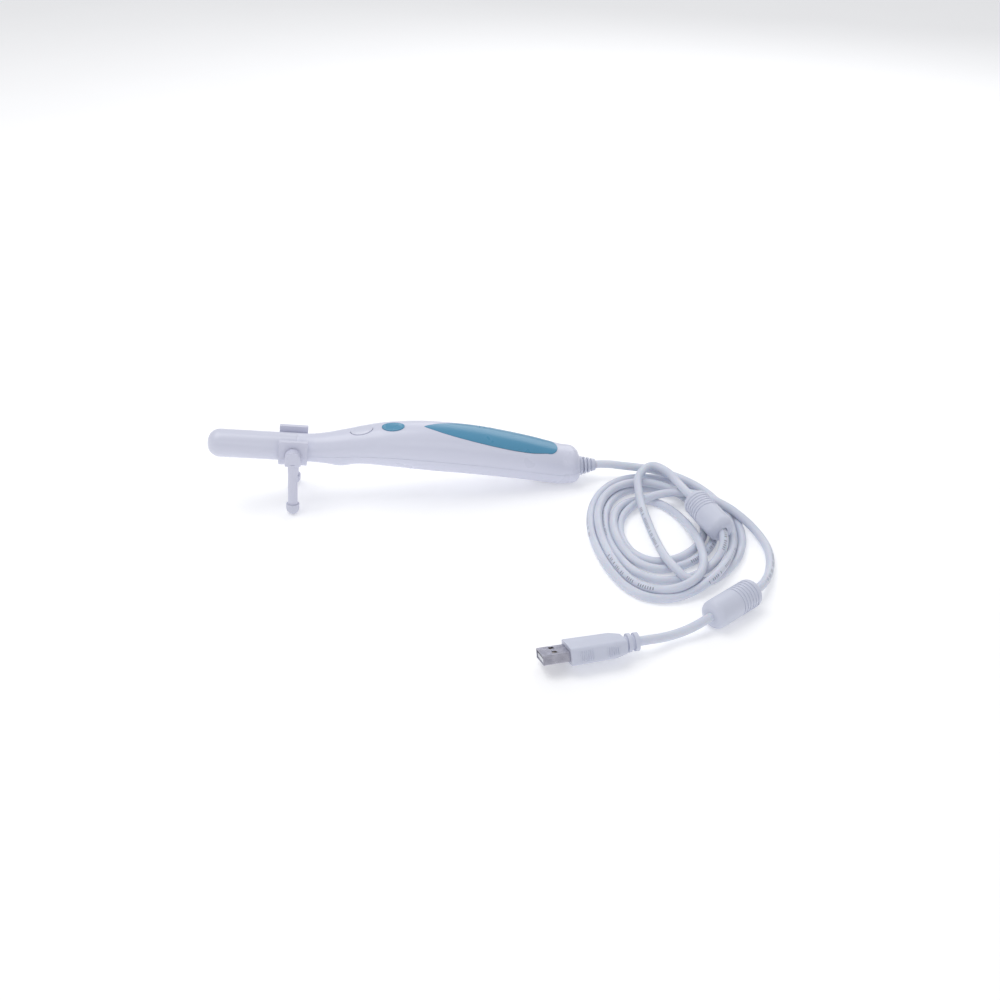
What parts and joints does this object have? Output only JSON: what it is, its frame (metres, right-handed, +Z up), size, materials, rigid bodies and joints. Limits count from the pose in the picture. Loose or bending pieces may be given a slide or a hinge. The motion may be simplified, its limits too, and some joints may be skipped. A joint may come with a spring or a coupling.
{
  "type": "intraoral camera",
  "caption": "Dental intraoral camera: slim barrel with side window, swelling handle with keys and inlay, clip-on leg rest, USB lead with ferrite chokes lying in a loose coil.",
  "frame": {"origin": "on the floor, under the middle of the handpiece and its rest", "axes": "+X along the handpiece from barrel tip to cable exit, +Y across to the side away from the coil, +Z up"},
  "size_m": [0.2812, 0.1782, 0.0436],
  "materials": {
    "barrel": "smooth moulded plastic, satin gloss",
    "casing": "smooth moulded plastic, satin gloss",
    "inlay": "blue moulded panel, satin",
    "key_blue": "blue moulded key, satin",
    "key_white": "white moulded key, satin",
    "glass": "clear window",
    "seal": "black gasket",
    "pcb": "green solder mask",
    "chip": "black package",
    "led": "white light-emitting diodes",
    "black_parts": "black moulded",
    "metal_small": "plated steel",
    "lens": "coated lenses",
    "flex": "amber polyimide",
    "cream_parts": "ivory nylon",
    "clip": "moulded plastic",
    "foot": "pale soft tip",
    "cable": "smooth pvc jacket",
    "boot": "flexible pvc",
    "ferrite": "sintered ferrite",
    "plug_steel": "plated shell",
    "plug_tongue": "white insulator",
    "contact": "gold-plated contacts"
  },
  "bodies": {
    "handpiece": {"probe_barrel": "barrel", "upper_shell": "casing", "lower_shell": "casing", "grip_inlay": "inlay", "window_glass": "glass", "window_seal": "seal", "led_board": "pcb", "leds": "led", "lens_holder": "black_parts", "lens_barrel": "black_parts", "lens_elements": "lens", "image_sensor": "chip", "sensor_board": "pcb", "flex_cable": "flex", "main_board": "pcb", "video_chip": "chip", "board_components": "chip", "flex_connector": "cream_parts", "cable_header": "cream_parts", "case_screws": "metal_small", "board_screws": "metal_small", "switch_bodies": "metal_small", "key_board": "pcb", "strain_relief": "boot", "cable_core": "cable", "cable_clamp": "cream_parts", "cable_lead": "cable", "cable_coil": "cable", "cable_tail": "cable", "cable_end": "cable", "ferrite_cover_1": "boot", "ferrite_core_1": "ferrite", "cable_in_ferrite_1": "cable", "ferrite_cover_2": "boot", "ferrite_core_2": "ferrite", "cable_in_ferrite_2": "cable", "plug_overmould": "boot", "cable_in_plug": "cable", "plug_shell": "plug_steel", "plug_tongue": "plug_tongue", "plug_contacts": "contact"},
    "capture_key": {"capture_key": "key_blue", "capture_plunger": "black_parts"},
    "mode_key": {"mode_key": "key_white", "mode_plunger": "black_parts"},
    "clip": {"clip_saddle": "clip"},
    "leg_near": {"leg_near": "clip", "foot_near": "foot"},
    "leg_far": {"leg_far": "clip", "foot_far": "foot"}
  },
  "joints": [
    {"name": "capture_press", "type": "slide", "parent": "handpiece", "child": "capture_key", "axis": [0.0801, 0.1529, -0.985], "range_m": [0, 0.0005], "stiffness_N_per_m": 2000},
    {"name": "mode_press", "type": "slide", "parent": "handpiece", "child": "mode_key", "axis": [0.0801, 0.1529, -0.985], "range_m": [0, 0.0005], "stiffness_N_per_m": 2000},
    {"name": "clip_slide", "type": "slide", "parent": "handpiece", "child": "clip", "axis": [-0.991, 0, 0.134], "range_m": [0, 0.018]},
    {"name": "leg_near_fold", "type": "hinge", "parent": "clip", "child": "leg_near", "pos_m": [-0.05865, -0.0093, 0.03143], "axis": [0, 1, 0], "range_deg": [-87, 92]},
    {"name": "leg_far_fold", "type": "hinge", "parent": "clip", "child": "leg_far", "pos_m": [-0.05865, 0.0103, 0.03143], "axis": [0, 1, 0], "range_deg": [-87, 92]}
  ]
}
